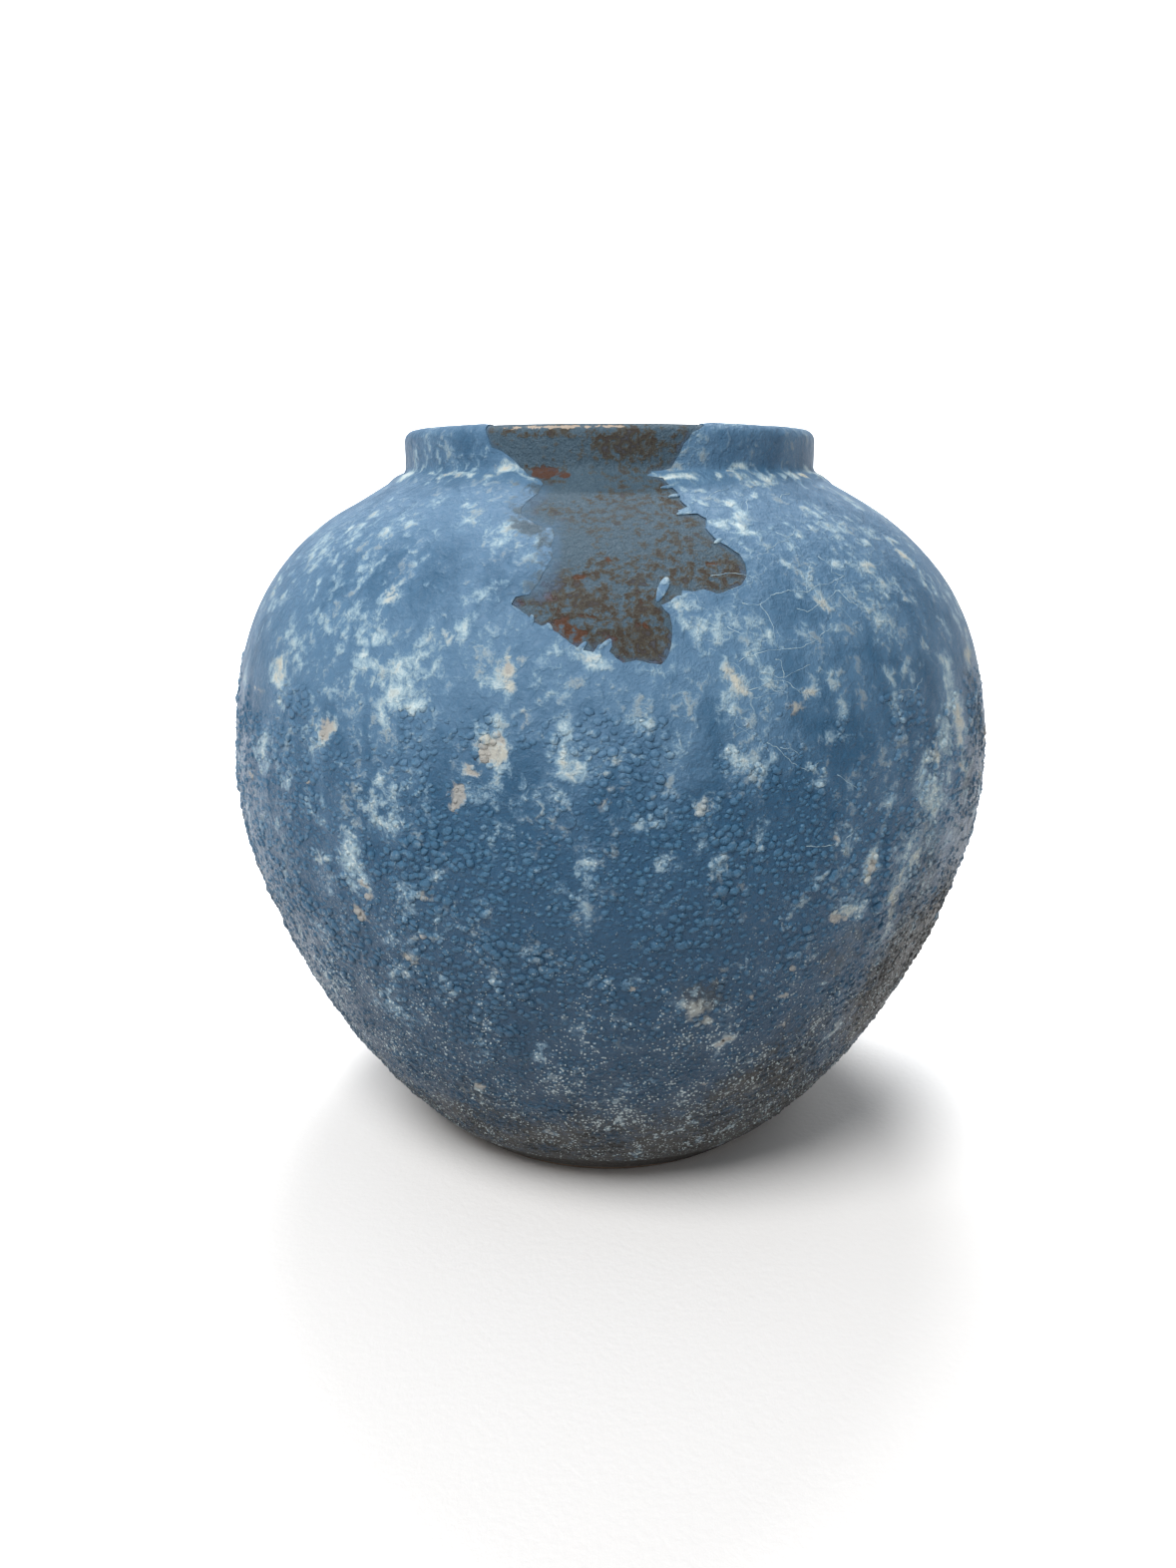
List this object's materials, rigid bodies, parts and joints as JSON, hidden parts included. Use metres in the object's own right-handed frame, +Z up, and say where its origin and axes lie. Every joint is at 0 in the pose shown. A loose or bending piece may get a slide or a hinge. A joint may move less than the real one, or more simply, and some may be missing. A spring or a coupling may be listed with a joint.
{
  "type": "stoneware vase",
  "caption": "Round-bellied stoneware vase with a narrow flat foot, wide shoulder, short collar neck and open mouth, under a beaded blue glaze.",
  "frame": {"origin": "centre of the foot, on the surface that the vase stands on", "axes": "+Z up along the axis of the pot, -Y towards the bare patch on the shoulder, which is the front"},
  "size_m": [0.3, 0.3, 0.283],
  "materials": {
    "clay": "bare grey-brown stoneware, matt and slightly gritty",
    "joining_slip": "smooth matt joining slip",
    "iron_slip": "matt blue-grey slip breaking to rust brown",
    "blue_glaze": "satin mottled blue glaze, smooth on the shoulder and beaded below",
    "liner_glaze": "satin grey-blue glaze with faint throwing rings"
  },
  "bodies": {
    "root": {"base_slab": "clay", "base_lute": "joining_slip", "lower_wall": "clay", "belly_lute": "joining_slip", "upper_wall": "clay", "collar_lute": "joining_slip", "neck_collar": "clay", "liner_glaze": "liner_glaze", "iron_slip": "iron_slip", "blue_glaze": "blue_glaze"}
  },
  "joints": []
}
